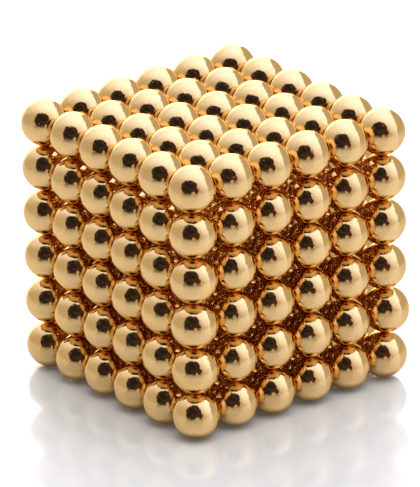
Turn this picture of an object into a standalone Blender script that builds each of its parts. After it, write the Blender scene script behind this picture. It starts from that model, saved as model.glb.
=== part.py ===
"""A cube of gold-plated ball magnets, six along each edge.

The rows run along X. Six rows side by side along Y make a layer, and six layers stack up along
Z, so each ball touches up to six others, square on. The balls hold each other by magnetism
alone: the cube has no frame, base or fastener.

Every layer is made of four whole rows, a shorter row at the front and one at the back, and the
four corner balls, which can be pulled off by themselves. The balls of one row are joined by a
small neck where they touch, so that each row is one solid.

Metres, +Z up. The origin is the centre of the square that the cube rests on.
"""

import math

import bpy

# Driving dimensions
BALLS_PER_EDGE = 6
PITCH = 0.005  # from one ball's centre to the next
BALL_DIAMETER = 0.00498  # across opposite faces: 0.02 mm of room between neighbours
PROUD_CORNER = (2, "front", "right")  # the corner ball that isn't pushed home
PROUD_DISTANCE = 0.00035

# How round a turned ball is
SIDES = 8  # faces around the row's axis
PROFILE_FACE_ANGLE = math.radians(30)  # between one face of the profile and the next
RIM_LATITUDES = [math.radians(degrees) for degrees in (45, 15, -15, -45)]

# Gold plating
GOLD_COLOUR = (0.94, 0.69, 0.36, 1.0)
GOLD_ROUGHNESS = 0.06

COLLECTION_NAME = "magnetic_ball_cube"
SCREW_MERGE = 1e-6

BALL_RADIUS = BALL_DIAMETER / 2
MIDDLE_PLACE = (BALLS_PER_EDGE + 1) / 2  # between the third ball and the fourth


def clear_scene():
    for obj in list(bpy.data.objects):
        bpy.data.objects.remove(obj)


def gold_plating(name):
    material = bpy.data.materials.new(name)
    material.use_nodes = True
    shader = material.node_tree.nodes["Principled BSDF"]
    shader.inputs["Base Color"].default_value = GOLD_COLOUR
    shader.inputs["Metallic"].default_value = 1.0
    shader.inputs["Roughness"].default_value = GOLD_ROUGHNESS
    return material


def place_along(number):
    """Where ball, row or layer `number`, counted from 1, lies along a centred edge."""
    return (number - MIDDLE_PLACE) * PITCH


def row_outline(ball_count):
    """(radius, height) points of a turned row, from the top of its axis to the bottom.

    Each ball is half of a regular polygon whose faces touch the true sphere, the first and
    the last square to the axis. Two neighbours share the neck between them.
    """
    corner_distance = BALL_RADIUS / math.cos(PROFILE_FACE_ANGLE / 2)
    neck_radius = BALL_RADIUS * math.tan(PROFILE_FACE_ANGLE / 2)
    top_centre = (ball_count - 1) / 2 * PITCH
    end = top_centre + BALL_RADIUS

    outline = [(0.0, end), (neck_radius, end)]
    for index in range(ball_count):
        centre = top_centre - index * PITCH
        for latitude in RIM_LATITUDES:
            radius = corner_distance * math.cos(latitude)
            height = centre + corner_distance * math.sin(latitude)
            outline.append((radius, height))
        if index < ball_count - 1:
            outline.append((neck_radius, centre - PITCH / 2))
    outline += [(neck_radius, -end), (0.0, -end)]
    return outline


def row_profile_mesh(name, ball_count, material):
    """The outline as a chain of edges, half a side round from +X so that flats face X and Y."""
    half_side = math.pi / SIDES
    points = []
    for radius, height in row_outline(ball_count):
        corner_radius = radius / math.cos(half_side)
        x = corner_radius * math.cos(half_side)
        y = corner_radius * math.sin(half_side)
        points.append((x, y, height))
    edges = [(index, index + 1) for index in range(len(points) - 1)]
    mesh = bpy.data.meshes.new(name)
    mesh.from_pydata(points, edges, [])
    mesh.materials.append(material)
    return mesh


def add_level(collection, layer):
    """An empty at the height of a layer's ball centres, which that layer's pieces hang on."""
    level = bpy.data.objects.new(f"layer_{layer}_level", None)
    level.location = (0, 0, BALL_RADIUS + (layer - 1) * PITCH)
    level.empty_display_size = BALL_DIAMETER
    collection.objects.link(level)
    return level


def add_turned_row(collection, name, profile, level, x, y):
    """A profile turned about its own Z axis, laid down so that the axis runs along X."""
    row = bpy.data.objects.new(name, profile)
    row.parent = level
    row.location = (x, y, 0)
    row.rotation_euler = (0, math.radians(90), 0)
    collection.objects.link(row)

    turn = row.modifiers.new("Turn", "SCREW")
    turn.axis = "Z"
    turn.angle = math.tau
    turn.steps = SIDES
    turn.render_steps = SIDES
    turn.use_merge_vertices = True
    turn.merge_threshold = SCREW_MERGE
    turn.use_smooth_shade = True
    return row


def add_layer(collection, layer, whole_row, short_row, single_ball):
    level = add_level(collection, layer)

    for row in range(2, BALLS_PER_EDGE):
        name = f"layer_{layer}_row_{row}"
        add_turned_row(collection, name, whole_row, level, 0, place_along(row))

    for side, row in (("front", 1), ("back", BALLS_PER_EDGE)):
        y = place_along(row)
        add_turned_row(collection, f"layer_{layer}_{side}_row", short_row, level, 0, y)
        for hand, column in (("left", 1), ("right", BALLS_PER_EDGE)):
            x = place_along(column)
            if (layer, side, hand) == PROUD_CORNER:
                x += math.copysign(PROUD_DISTANCE, x)
            name = f"layer_{layer}_{side}_{hand}_ball"
            add_turned_row(collection, name, single_ball, level, x, y)


def main():
    clear_scene()
    collection = bpy.data.collections.new(COLLECTION_NAME)
    bpy.context.scene.collection.children.link(collection)

    gold = gold_plating("gold_plating")
    whole_row = row_profile_mesh("whole_row_profile", BALLS_PER_EDGE, gold)
    short_row = row_profile_mesh("short_row_profile", BALLS_PER_EDGE - 2, gold)
    single_ball = row_profile_mesh("single_ball_profile", 1, gold)

    for layer in range(1, BALLS_PER_EDGE + 1):
        add_layer(collection, layer, whole_row, short_row, single_ball)


main()
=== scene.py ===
"""The looks of the magnetic ball cube: polished gold balls in a small light tent.

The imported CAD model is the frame. Each of its rows is replaced by its real, separate balls.
"""

import math
import random

import bmesh
import bpy
from mathutils import Euler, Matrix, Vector


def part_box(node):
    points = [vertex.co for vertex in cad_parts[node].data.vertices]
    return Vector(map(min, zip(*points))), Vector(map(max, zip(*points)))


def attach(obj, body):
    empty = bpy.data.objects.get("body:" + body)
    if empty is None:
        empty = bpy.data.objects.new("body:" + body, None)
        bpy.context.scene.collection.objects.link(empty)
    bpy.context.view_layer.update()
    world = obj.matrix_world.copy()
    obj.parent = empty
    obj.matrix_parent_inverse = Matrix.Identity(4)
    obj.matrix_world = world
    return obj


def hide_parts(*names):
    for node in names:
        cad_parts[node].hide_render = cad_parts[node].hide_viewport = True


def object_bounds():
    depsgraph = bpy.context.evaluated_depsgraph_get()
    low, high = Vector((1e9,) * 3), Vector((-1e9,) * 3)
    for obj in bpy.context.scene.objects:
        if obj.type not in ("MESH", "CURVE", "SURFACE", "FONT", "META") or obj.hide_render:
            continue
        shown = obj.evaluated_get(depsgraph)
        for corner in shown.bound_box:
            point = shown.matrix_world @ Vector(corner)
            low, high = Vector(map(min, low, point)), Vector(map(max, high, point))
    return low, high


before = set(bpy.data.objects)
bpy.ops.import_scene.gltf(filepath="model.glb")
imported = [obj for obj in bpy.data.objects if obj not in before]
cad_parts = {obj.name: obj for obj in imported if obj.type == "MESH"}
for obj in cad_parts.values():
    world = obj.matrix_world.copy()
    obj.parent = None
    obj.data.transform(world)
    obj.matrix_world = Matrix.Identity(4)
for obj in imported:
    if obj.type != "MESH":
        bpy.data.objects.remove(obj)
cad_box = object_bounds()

# ---------------------------------------------------------------- sizes, from the frame

BALLS_IN_ROW = 6
FULL_ROW_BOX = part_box("layer_1_row_3")
BALL_RADIUS = (FULL_ROW_BOX[1].z - FULL_ROW_BOX[0].z) / 2
ROW_LENGTH = FULL_ROW_BOX[1].x - FULL_ROW_BOX[0].x
PITCH = (ROW_LENGTH - 2 * BALL_RADIUS) / (BALLS_IN_ROW - 1)
CUBE_CENTRE = (cad_box[0] + cad_box[1]) / 2

# ---------------------------------------------------------------- camera

CAMERA_AZIMUTH = math.radians(-37.8)  # 0 looks along +Y
CAMERA_ELEVATION = math.radians(22.0)
CAMERA_ROLL = math.radians(-1.0)
CAMERA_DISTANCE = 0.75
PITCH_IN_FRAME_HEIGHTS = 0.0980  # how large one ball pitch looks
SENSOR = 36.0  # mm, along the picture's long side
SHIFT_X = -0.012
SHIFT_Y = -0.012
CLIP_START = 0.01
CLIP_END = 10

# ---------------------------------------------------------------- directions of the studio

TOWARD = Vector((math.sin(CAMERA_AZIMUTH), -math.cos(CAMERA_AZIMUTH), 0))  # level, to the camera
RIGHT = Vector((math.cos(CAMERA_AZIMUTH), math.sin(CAMERA_AZIMUTH), 0))
UP = Vector((0, 0, 1))


def studio_direction(right, up, toward):
    """A direction given as seen from the camera's place, kept fixed in the room."""
    return (RIGHT * right + UP * up + TOWARD * toward).normalized()


def add_camera():
    back = TOWARD * math.cos(CAMERA_ELEVATION) + UP * math.sin(CAMERA_ELEVATION)
    data = bpy.data.cameras.new("camera")
    data.sensor_fit = "AUTO"
    data.sensor_width = SENSOR
    data.lens = SENSOR * PITCH_IN_FRAME_HEIGHTS * CAMERA_DISTANCE / PITCH
    data.shift_x = SHIFT_X
    data.shift_y = SHIFT_Y
    data.clip_start = CLIP_START
    data.clip_end = CLIP_END
    camera = bpy.data.objects.new("camera", data)
    camera.location = CUBE_CENTRE + back * CAMERA_DISTANCE
    camera.rotation_mode = "QUATERNION"
    look = (-back).to_track_quat("-Z", "Y")
    camera.rotation_quaternion = look @ Euler((0, 0, CAMERA_ROLL)).to_quaternion()
    bpy.context.scene.collection.objects.link(camera)
    bpy.context.scene.camera = camera


# ---------------------------------------------------------------- node helpers


class Graph:
    """Adds nodes to one node tree. Except for node and feed, a method returns an output socket."""

    def __init__(self, tree):
        self.tree = tree

    def node(self, kind, **settings):
        made = self.tree.nodes.new(kind)
        for name, value in settings.items():
            setattr(made, name, value)
        return made

    def feed(self, socket, value):
        if isinstance(value, bpy.types.NodeSocket):
            self.tree.links.new(value, socket)
        else:
            socket.default_value = value

    def math(self, operation, *values):
        node = self.node("ShaderNodeMath", operation=operation)
        for socket, value in zip(node.inputs, values):
            self.feed(socket, value)
        return node.outputs[0]

    def dot(self, vector, direction):
        node = self.node("ShaderNodeVectorMath", operation="DOT_PRODUCT")
        self.feed(node.inputs[0], vector)
        node.inputs[1].default_value = direction
        return node.outputs["Value"]

    def add(self, vector, offset):
        node = self.node("ShaderNodeVectorMath", operation="ADD")
        self.feed(node.inputs[0], vector)
        self.feed(node.inputs[1], offset)
        return node.outputs["Vector"]

    def scale(self, vector, factors):
        node = self.node("ShaderNodeVectorMath", operation="MULTIPLY")
        self.feed(node.inputs[0], vector)
        node.inputs[1].default_value = factors
        return node.outputs["Vector"]

    def step(self, value, start, end):
        """Goes smoothly from 0 at start to 1 at end."""
        node = self.node("ShaderNodeMapRange", interpolation_type="SMOOTHSTEP")
        self.feed(node.inputs["Value"], value)
        node.inputs["From Min"].default_value = start
        node.inputs["From Max"].default_value = end
        return node.outputs["Result"]

    def mix(self, share, first, second):
        node = self.node("ShaderNodeMix", data_type="RGBA")
        self.feed(node.inputs["Factor"], share)
        self.feed(node.inputs["A"], first)
        self.feed(node.inputs["B"], second)
        return node.outputs["Result"]

    def noise(self, vector, scale, detail=2.0, roughness=0.5):
        node = self.node("ShaderNodeTexNoise")
        self.feed(node.inputs["Vector"], vector)
        node.inputs["Scale"].default_value = scale
        node.inputs["Detail"].default_value = detail
        node.inputs["Roughness"].default_value = roughness
        return node.outputs["Fac"]


# ---------------------------------------------------------------- the light tent

# Directions here are (right, up, toward the camera's side), as seen from the photo's viewpoint.
# An edge is a pair: where a soft border starts, and where it is complete. Unless it says
# otherwise, it is measured as the cosine of the angle from the thing's own direction.
MAIN_LIGHT = studio_direction(0.40, 0.74, -0.54)
MAIN_LIGHT_WRAP = 0.06  # how far its light reaches past a right angle
MAIN_LIGHT_FALLOFF = 1.2
NEAR_SIDE = studio_direction(0.93, 0.26, 0.27)
NEAR_SIDE_EDGE = (0.80, 0.97)
NEAR_SIDE_GLOW = 0.13
DIM_CLOTH = (0.67, 0.63, 0.53, 1)
BRIGHT_CLOTH = (1.75, 1.98, 2.87, 1)  # where the cool lamp shines through

FOLD_SCALE = 3.5
FOLD_DEPTH = 0.5
FOLD_BASE = 0.65
CREASE_SCALE = 13
CREASE_DEPTH = 0.2

BACKDROP = (3.8, 3.5, 3.3, 1)
BACKDROP_EDGE = (-0.72, -0.90)  # along TOWARD, so on the far side
BACKDROP_TOP = (0.62, 0.42)  # heights

SHADED_SIDE = studio_direction(0.81, -0.04, -0.58)
SHADED_SIDE_EDGE = (0.755, 0.80)  # with the ragged noise added
SHADED_CLOTH = (0.65, 0.625, 0.54, 1)
RAGGED_SCALE = 8
RAGGED_DEPTH = 0.12

OPENING = studio_direction(-0.22, 0.48, 0.85)
OPENING_HALF_WIDTH = math.tan(math.radians(37.5))
OPENING_HALF_HEIGHT = math.tan(math.radians(37.0))
OPENING_CORNERS = 2.3  # 2 makes an ellipse, more makes squarer corners
OPENING_EDGE = (1.25, 0.75)  # 1 is the nominal outline
JUST_AHEAD = 0.001  # keeps the division finite for directions away from the opening
ROOM = (0.024, 0.020, 0.024, 1)
ROOM_LIGHTER = (0.070, 0.054, 0.050, 1)
CLUTTER_SCALE = 4
CLUTTER_EDGE = (0.35, 0.70)  # shares of the noise

STAND = studio_direction(0.30, 0.22, 0.93)  # something dark at the opening's lower right
STAND_EDGE = (0.958, 0.972)
STAND_COLOUR = (0.085, 0.034, 0.024, 1)
PAPER = studio_direction(0.125, 0.03, 0.99)  # something pale at the opening's foot
PAPER_EDGE = (0.990, 0.995)
PAPER_COLOUR = (0.62, 0.56, 0.46, 1)

BEYOND_FLOOR = (0.90, 0.90, 0.86, 1)
HORIZON_EDGE = (0.0, -0.02)  # heights
WHITE = (1, 1, 1, 1)


def cloth_colour(graph, direction):
    """White cloth, brightest where the lamp shines through it, with soft folds and creases."""
    near_lamp = graph.math("ADD", graph.dot(direction, MAIN_LIGHT), MAIN_LIGHT_WRAP)
    near_lamp = graph.math("MAXIMUM", near_lamp, 0)
    folds = graph.math("MULTIPLY_ADD", graph.noise(direction, FOLD_SCALE), FOLD_DEPTH, FOLD_BASE)
    creases = graph.noise(direction, CREASE_SCALE, detail=3)
    folds = graph.math("MULTIPLY_ADD", creases, CREASE_DEPTH, folds)
    glow = graph.math("MULTIPLY", graph.math("POWER", near_lamp, MAIN_LIGHT_FALLOFF), folds)
    near_side = graph.step(graph.dot(direction, NEAR_SIDE), *NEAR_SIDE_EDGE)
    glow = graph.math("MULTIPLY_ADD", near_side, NEAR_SIDE_GLOW, glow)
    return graph.mix(glow, DIM_CLOTH, BRIGHT_CLOTH)


def with_backdrop(graph, direction, height, tent):
    """The lit backdrop, low behind the object."""
    behind = graph.step(graph.dot(direction, TOWARD), *BACKDROP_EDGE)
    low = graph.step(height, *BACKDROP_TOP)
    return graph.mix(graph.math("MULTIPLY", behind, low), tent, BACKDROP)


def with_shaded_side(graph, direction, tent):
    """The side that gets no direct light, with a ragged border."""
    ragged = graph.noise(direction, RAGGED_SCALE)
    toward_side = graph.dot(direction, SHADED_SIDE)
    side = graph.math("MULTIPLY_ADD", ragged, RAGGED_DEPTH, toward_side)
    return graph.mix(graph.step(side, *SHADED_SIDE_EDGE), tent, SHADED_CLOTH)


def opening_mask(graph, direction):
    """1 inside the tent's open front, a rounded window, and 0 elsewhere."""
    across = OPENING.cross(UP).normalized()
    upward = across.cross(OPENING)
    ahead = graph.math("MAXIMUM", graph.dot(direction, OPENING), JUST_AHEAD)
    x = graph.math("DIVIDE", graph.dot(direction, across), ahead)
    y = graph.math("DIVIDE", graph.dot(direction, upward), ahead)
    x = graph.math("ABSOLUTE", graph.math("DIVIDE", x, OPENING_HALF_WIDTH))
    y = graph.math("ABSOLUTE", graph.math("DIVIDE", y, OPENING_HALF_HEIGHT))
    x = graph.math("POWER", x, OPENING_CORNERS)
    y = graph.math("POWER", y, OPENING_CORNERS)
    return graph.step(graph.math("ADD", x, y), *OPENING_EDGE)


def with_opening(graph, direction, tent):
    """The open front with a dim room beyond, and the stand and the paper in front of it."""
    clutter = graph.step(graph.noise(direction, CLUTTER_SCALE, detail=1), *CLUTTER_EDGE)
    room = graph.mix(clutter, ROOM, ROOM_LIGHTER)
    tent = graph.mix(opening_mask(graph, direction), tent, room)
    tent = graph.mix(graph.step(graph.dot(direction, STAND), *STAND_EDGE), tent, STAND_COLOUR)
    return graph.mix(graph.step(graph.dot(direction, PAPER), *PAPER_EDGE), tent, PAPER_COLOUR)


def add_tent():
    world = bpy.data.worlds.new("light_tent")
    world.use_nodes = True
    tree = world.node_tree
    tree.nodes.clear()
    graph = Graph(tree)

    direction = graph.node("ShaderNodeTexCoord").outputs["Generated"]
    height = graph.dot(direction, UP)
    tent = cloth_colour(graph, direction)
    tent = with_backdrop(graph, direction, height, tent)
    tent = with_shaded_side(graph, direction, tent)
    tent = with_opening(graph, direction, tent)
    tent = graph.mix(graph.step(height, *HORIZON_EDGE), tent, BEYOND_FLOOR)

    # The camera sees plain white past the floor's edge, from every side.
    seen = graph.node("ShaderNodeLightPath").outputs["Is Camera Ray"]
    tent = graph.mix(seen, tent, WHITE)

    background = graph.node("ShaderNodeBackground")
    graph.feed(background.inputs["Color"], tent)
    output = graph.node("ShaderNodeOutputWorld")
    graph.feed(output.inputs["Surface"], background.outputs["Background"])
    bpy.context.scene.world = world


# ---------------------------------------------------------------- lamp and floor

LAMP_PLACE = UP * 0.28 + RIGHT * 0.02 + TOWARD * 0.07  # above the cube, a little to the front
LAMP_SIZE = 0.32
LAMP_POWER = 1.26
LAMP_COLOUR = (1.0, 0.97, 0.86)
FLOOR_HALF = 1.5
FLOOR_BELOW = 0.00002
ACRYLIC = (0.42, 0.42, 0.395, 1)
ACRYLIC_ROUGHNESS = 0.55
ACRYLIC_IOR = 2.2
ACRYLIC_GLOW = 0.06  # light scattered inside the sheet
GLAZE_ROUGHNESS = 0.10
GLAZE_IOR = 1.6


def add_lamp():
    """Brightens the floor. The balls mirror the tent's cloth instead of it."""
    data = bpy.data.lights.new("lamp", "AREA")
    data.shape = "DISK"
    data.size = LAMP_SIZE
    data.energy = LAMP_POWER
    data.color = LAMP_COLOUR
    lamp = bpy.data.objects.new("lamp", data)
    lamp.location = LAMP_PLACE
    lamp.rotation_mode = "QUATERNION"
    lamp.rotation_quaternion = (-LAMP_PLACE).to_track_quat("-Z", "Y")
    lamp.visible_glossy = False
    bpy.context.scene.collection.objects.link(lamp)


def floor_material():
    material = bpy.data.materials.new("white_acrylic")
    material.use_nodes = True
    shader = material.node_tree.nodes["Principled BSDF"]
    shader.inputs["Base Color"].default_value = ACRYLIC
    shader.inputs["Roughness"].default_value = ACRYLIC_ROUGHNESS
    shader.inputs["IOR"].default_value = ACRYLIC_IOR
    shader.inputs["Emission Color"].default_value = WHITE
    shader.inputs["Emission Strength"].default_value = ACRYLIC_GLOW
    shader.inputs["Coat Weight"].default_value = 1.0
    shader.inputs["Coat Roughness"].default_value = GLAZE_ROUGHNESS
    shader.inputs["Coat IOR"].default_value = GLAZE_IOR
    return material


def add_floor():
    mesh = bpy.data.meshes.new("floor")
    bm = bmesh.new()
    bmesh.ops.create_grid(bm, x_segments=1, y_segments=1, size=FLOOR_HALF)
    bm.to_mesh(mesh)
    bm.free()
    mesh.materials.append(floor_material())
    floor = bpy.data.objects.new("floor", mesh)
    floor.location.z = -FLOOR_BELOW
    bpy.context.scene.collection.objects.link(floor)


# ---------------------------------------------------------------- gold plating

GOLD = (0.80, 0.531, 0.234, 1)
GOLD_WARMER = (0.78, 0.501, 0.214, 1)
WORN_GOLD = (0.53, 0.34, 0.16, 1)
GRAZING_TINT = (0.94, 0.82, 0.62, 1)

OWN_PATTERN_SPREAD = 0.7  # metres; each ball's patterns move by a random share of this
TONE_SCALE = 260
SMUDGE_SCALE = 650
SMUDGE_EDGE = (0.50, 0.72)
SCRATCH_SCALE = 5200
SCRATCH_TURN = (0.6, 0.4, 0.9)
SCRATCH_STRETCH = (0.12, 1.0, 1.0)
SCRATCH_EDGE = (0.69, 0.72)
PIT_SCALE = 900
PIT_EDGE = (0.075, 0.05)
WAVE_SCALE = 1000

POLISHED_ROUGHNESS = 0.07
SMUDGE_ROUGHNESS = 0.035
SCRATCH_ROUGHNESS = 0.10
PIT_ROUGHNESS = 0.2
WAVE_HEIGHT = 0.00005  # metres, for the full range of the noise
SCRATCH_DEPTH = -0.03  # this and the next are shares of WAVE_HEIGHT, inward
PIT_DEPTH = -0.15


def gold_plating():
    """Polished plating: softly uneven, with smudges, hairline scratches and a few small pits."""
    material = bpy.data.materials.new("gold_plating")
    material.use_nodes = True
    graph = Graph(material.node_tree)
    shader = material.node_tree.nodes["Principled BSDF"]
    shader.inputs["Metallic"].default_value = 1.0
    shader.inputs["Specular Tint"].default_value = GRAZING_TINT

    # Every ball gets its own part of the patterns.
    own = graph.node("ShaderNodeObjectInfo").outputs["Random"]
    own = graph.math("MULTIPLY", own, OWN_PATTERN_SPREAD)
    place = graph.add(graph.node("ShaderNodeTexCoord").outputs["Object"], own)

    tone = graph.noise(place, TONE_SCALE, detail=1)
    smudge = graph.noise(place, SMUDGE_SCALE, detail=4, roughness=0.6)
    smudge = graph.step(smudge, *SMUDGE_EDGE)
    turned = graph.node("ShaderNodeVectorRotate", rotation_type="EULER_XYZ")
    turned.inputs["Rotation"].default_value = SCRATCH_TURN
    graph.feed(turned.inputs["Vector"], place)
    drawn = graph.scale(turned.outputs["Vector"], SCRATCH_STRETCH)
    scratch = graph.step(graph.noise(drawn, SCRATCH_SCALE, detail=1), *SCRATCH_EDGE)
    pits = graph.node("ShaderNodeTexVoronoi")
    graph.feed(pits.inputs["Vector"], place)
    pits.inputs["Scale"].default_value = PIT_SCALE
    pit = graph.step(pits.outputs["Distance"], *PIT_EDGE)

    plating = graph.mix(tone, GOLD, GOLD_WARMER)
    plating = graph.mix(pit, plating, WORN_GOLD)
    graph.feed(shader.inputs["Base Color"], plating)

    dull = graph.math("MULTIPLY_ADD", smudge, SMUDGE_ROUGHNESS, POLISHED_ROUGHNESS)
    dull = graph.math("MULTIPLY_ADD", scratch, SCRATCH_ROUGHNESS, dull)
    dull = graph.math("MULTIPLY_ADD", pit, PIT_ROUGHNESS, dull)
    graph.feed(shader.inputs["Roughness"], dull)

    waves = graph.noise(place, WAVE_SCALE, detail=2, roughness=0.45)
    marks = graph.math("MULTIPLY_ADD", scratch, SCRATCH_DEPTH, waves)
    marks = graph.math("MULTIPLY_ADD", pit, PIT_DEPTH, marks)
    bump = graph.node("ShaderNodeBump")
    bump.inputs["Strength"].default_value = 1.0
    bump.inputs["Distance"].default_value = WAVE_HEIGHT
    graph.feed(bump.inputs["Height"], marks)
    graph.feed(shader.inputs["Normal"], bump.outputs["Normal"])
    return material


# ---------------------------------------------------------------- balls

FACES_PER_SIDE = 16  # of the cube that is blown up into a ball
BALL_SHAPES = 8
LOBES = 3
LOBE_SHARPNESS = 4
LOBE_DEPTH = 0.0015  # how far out of round, as a share of the radius
SHAPE_SEED = 7


def ball_mesh(name, draw, material):
    """A cube with its faces divided evenly by angle and pushed out to a sphere, lapped slightly
    out of round."""
    bm = bmesh.new()
    bmesh.ops.create_cube(bm, size=2)
    bmesh.ops.subdivide_edges(bm, edges=bm.edges[:], cuts=FACES_PER_SIDE - 1, use_grid_fill=True)
    lobes = []
    for _ in range(LOBES):
        axis = Vector([draw.gauss(0, 1) for _ in range(3)]).normalized()
        lobes.append((axis, draw.random()))
    for vertex in bm.verts:
        spread = Vector([math.tan(coordinate * math.pi / 4) for coordinate in vertex.co])
        outward = spread.normalized()
        dips = [weight * outward.dot(axis) ** LOBE_SHARPNESS for axis, weight in lobes]
        vertex.co = outward * BALL_RADIUS * (1 - LOBE_DEPTH * (sum(dips) / LOBES))
    for face in bm.faces:
        face.smooth = True
    mesh = bpy.data.meshes.new(name)
    bm.to_mesh(mesh)
    bm.free()
    mesh.materials.append(material)
    return mesh


def add_ball(name, mesh, centre, node):
    ball = bpy.data.objects.new(name, mesh)
    ball.location = centre
    bpy.context.scene.collection.objects.link(ball)
    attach(ball, node)
    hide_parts(node)


def add_balls():
    draw = random.Random(SHAPE_SEED)
    material = gold_plating()
    meshes = [ball_mesh(f"ball_shape_{i + 1}", draw, material) for i in range(BALL_SHAPES)]
    for node in sorted(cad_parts):
        low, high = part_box(node)
        count = round((high.x - low.x - 2 * BALL_RADIUS) / PITCH) + 1
        for index in range(count):
            along = low.x + BALL_RADIUS + index * PITCH
            centre = Vector((along, (low.y + high.y) / 2, (low.z + high.z) / 2))
            name = f"{node}_{index + 1}" if count > 1 else f"{node}_whole"
            add_ball(name, draw.choice(meshes), centre, node)


# ---------------------------------------------------------------- all of it

MAX_BOUNCES = 16
GLOSSY_BOUNCES = 8  # from ball to ball, deep in the gaps

add_camera()
add_tent()
add_lamp()
add_floor()
add_balls()
bpy.context.scene.view_settings.view_transform = "Standard"
bpy.context.scene.cycles.max_bounces = MAX_BOUNCES
bpy.context.scene.cycles.glossy_bounces = GLOSSY_BOUNCES
